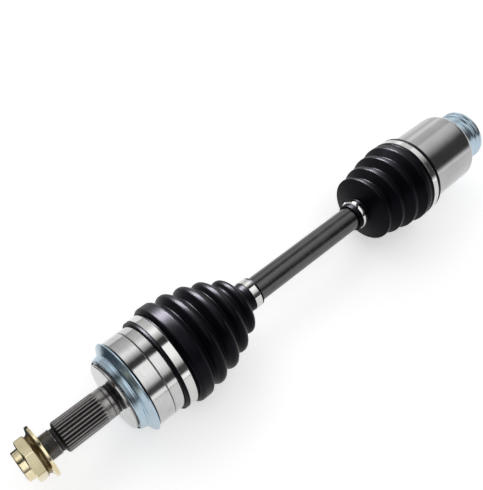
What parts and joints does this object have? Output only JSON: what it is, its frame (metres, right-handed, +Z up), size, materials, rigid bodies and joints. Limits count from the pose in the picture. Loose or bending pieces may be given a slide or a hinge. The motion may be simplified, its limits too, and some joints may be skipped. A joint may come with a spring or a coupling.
{
  "type": "cv axle",
  "caption": "Front drive shaft: ball joint with splined and threaded stub and nut at one end, sliding roller joint with splined socket at the other, rubber boots.",
  "frame": {"origin": "on the shaft's axis, halfway between the nut's outer end and the socket's open end", "axes": "+X along the shaft from the wheel end to the gearbox end, +Z up"},
  "size_m": [0.5886, 0.1, 0.1],
  "materials": {
    "yellow_zinc": "yellow zinc plate, satin",
    "turned_steel": "turned and ground steel, bright",
    "blue_zinc": "blue-white zinc plate, bright",
    "boot_rubber": "moulded rubber, semi-gloss",
    "band_steel": "stainless band, bright",
    "bearing_steel": "ground and oiled",
    "bar_steel": "dark grey paint, satin"
  },
  "bodies": {
    "bar": {"shaft": "bar_steel", "inner_race": "bearing_steel", "race_clip": "bearing_steel", "spider": "bearing_steel", "spider_clip": "bearing_steel", "outer_boot_clamp_small": "band_steel", "inner_boot_clamp_small": "band_steel", "trunnion_ring_1": "bearing_steel", "trunnion_ring_2": "bearing_steel", "trunnion_ring_3": "bearing_steel"},
    "bell": {"outer_housing": "turned_steel", "axle_nut": "yellow_zinc", "outer_dust_ring": "blue_zinc", "outer_boot_clamp_large": "band_steel", "outer_boot": "boot_rubber"},
    "cage": {"ball_cage": "bearing_steel", "ball_1": "bearing_steel", "ball_2": "bearing_steel", "ball_3": "bearing_steel", "ball_4": "bearing_steel", "ball_5": "bearing_steel", "ball_6": "bearing_steel"},
    "inner_boot": {"inner_boot": "boot_rubber"},
    "can": {"inner_housing": "turned_steel", "inner_dust_ring": "blue_zinc", "inner_boot_clamp_large": "band_steel"},
    "roller_1": {"roller_1": "bearing_steel", "needles_1": "bearing_steel"},
    "roller_2": {"roller_2": "bearing_steel", "needles_2": "bearing_steel"},
    "roller_3": {"roller_3": "bearing_steel", "needles_3": "bearing_steel"}
  },
  "joints": [
    {"name": "outer_bend", "type": "hinge", "parent": "bar", "child": "bell", "pos_m": [-0.16475, 0, 0], "axis": [0, 0, 1], "range_deg": [-45, 45], "deforming": ["outer_boot"]},
    {"name": "cage_bend", "type": "hinge", "parent": "bar", "child": "cage", "pos_m": [-0.16475, 0, 0], "axis": [0, 0, 1], "range_deg": [-23, 23]},
    {"name": "inner_bend", "type": "hinge", "parent": "bar", "child": "inner_boot", "pos_m": [0.21425, 0, 0], "axis": [0, 1, 0], "range_deg": [-18, 18], "deforming": ["inner_boot"]},
    {"name": "plunge", "type": "slide", "parent": "inner_boot", "child": "can", "axis": [1, 0, 0], "range_m": [-0.017, 0.017], "deforming": ["inner_boot"]},
    {"name": "roller_1_spin", "type": "hinge", "parent": "bar", "child": "roller_1", "pos_m": [0.21425, 0, 0.024], "axis": [0, 0, 1], "range_deg": [-68, 68]},
    {"name": "roller_2_spin", "type": "hinge", "parent": "bar", "child": "roller_2", "pos_m": [0.21425, -0.02078, -0.012], "axis": [0, -0.866, -0.5], "range_deg": [-68, 68]},
    {"name": "roller_3_spin", "type": "hinge", "parent": "bar", "child": "roller_3", "pos_m": [0.21425, 0.02078, -0.012], "axis": [0, 0.866, -0.5], "range_deg": [-68, 68]}
  ],
  "couplings": [
    {"joint": "cage_bend", "follows": "outer_bend", "ratio": 0.5},
    {"joint": "roller_1_spin", "follows": "plunge", "rad_per_m": -68.966},
    {"joint": "roller_2_spin", "follows": "plunge", "rad_per_m": -68.966},
    {"joint": "roller_3_spin", "follows": "plunge", "rad_per_m": -68.966}
  ]
}
